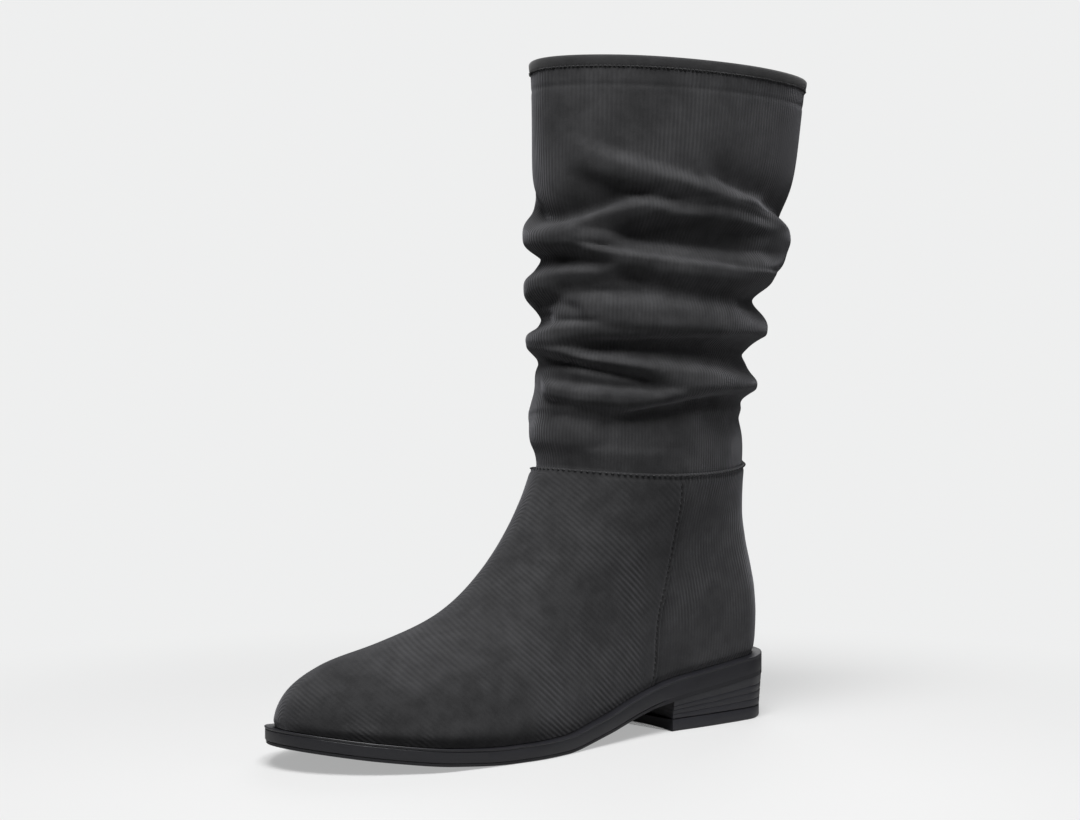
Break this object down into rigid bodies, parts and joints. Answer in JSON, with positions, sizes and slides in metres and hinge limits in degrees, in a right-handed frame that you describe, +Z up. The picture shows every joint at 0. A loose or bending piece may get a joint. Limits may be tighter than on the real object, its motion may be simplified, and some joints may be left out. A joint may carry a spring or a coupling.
{
  "type": "slouch boot",
  "caption": "Pull-on mid-calf slouch boot for the left foot, with an almond toe, a folded shaft, a plain collar binding and a low stacked heel.",
  "frame": {"origin": "on the floor under the middle of the heel, on the heel top piece's flat bottom face", "axes": "+X towards the toe, +Y towards the outer (lateral) side of the foot, +Z up"},
  "size_m": [0.2973, 0.0968, 0.3045],
  "materials": {
    "ribbed_suede": "matte napped suede with fine ribs, charcoal",
    "binding": "matte napped suede, charcoal",
    "sole_rubber": "satin black",
    "heel_rubber": "matte black",
    "sock_lining": "matte black cloth"
  },
  "bodies": {
    "root": {"outsole": "sole_rubber", "heel_block": "sole_rubber", "heel_top_piece": "heel_rubber", "insole": "sock_lining", "foot_upper": "ribbed_suede", "shaft": "ribbed_suede", "collar_binding": "binding"}
  },
  "joints": []
}
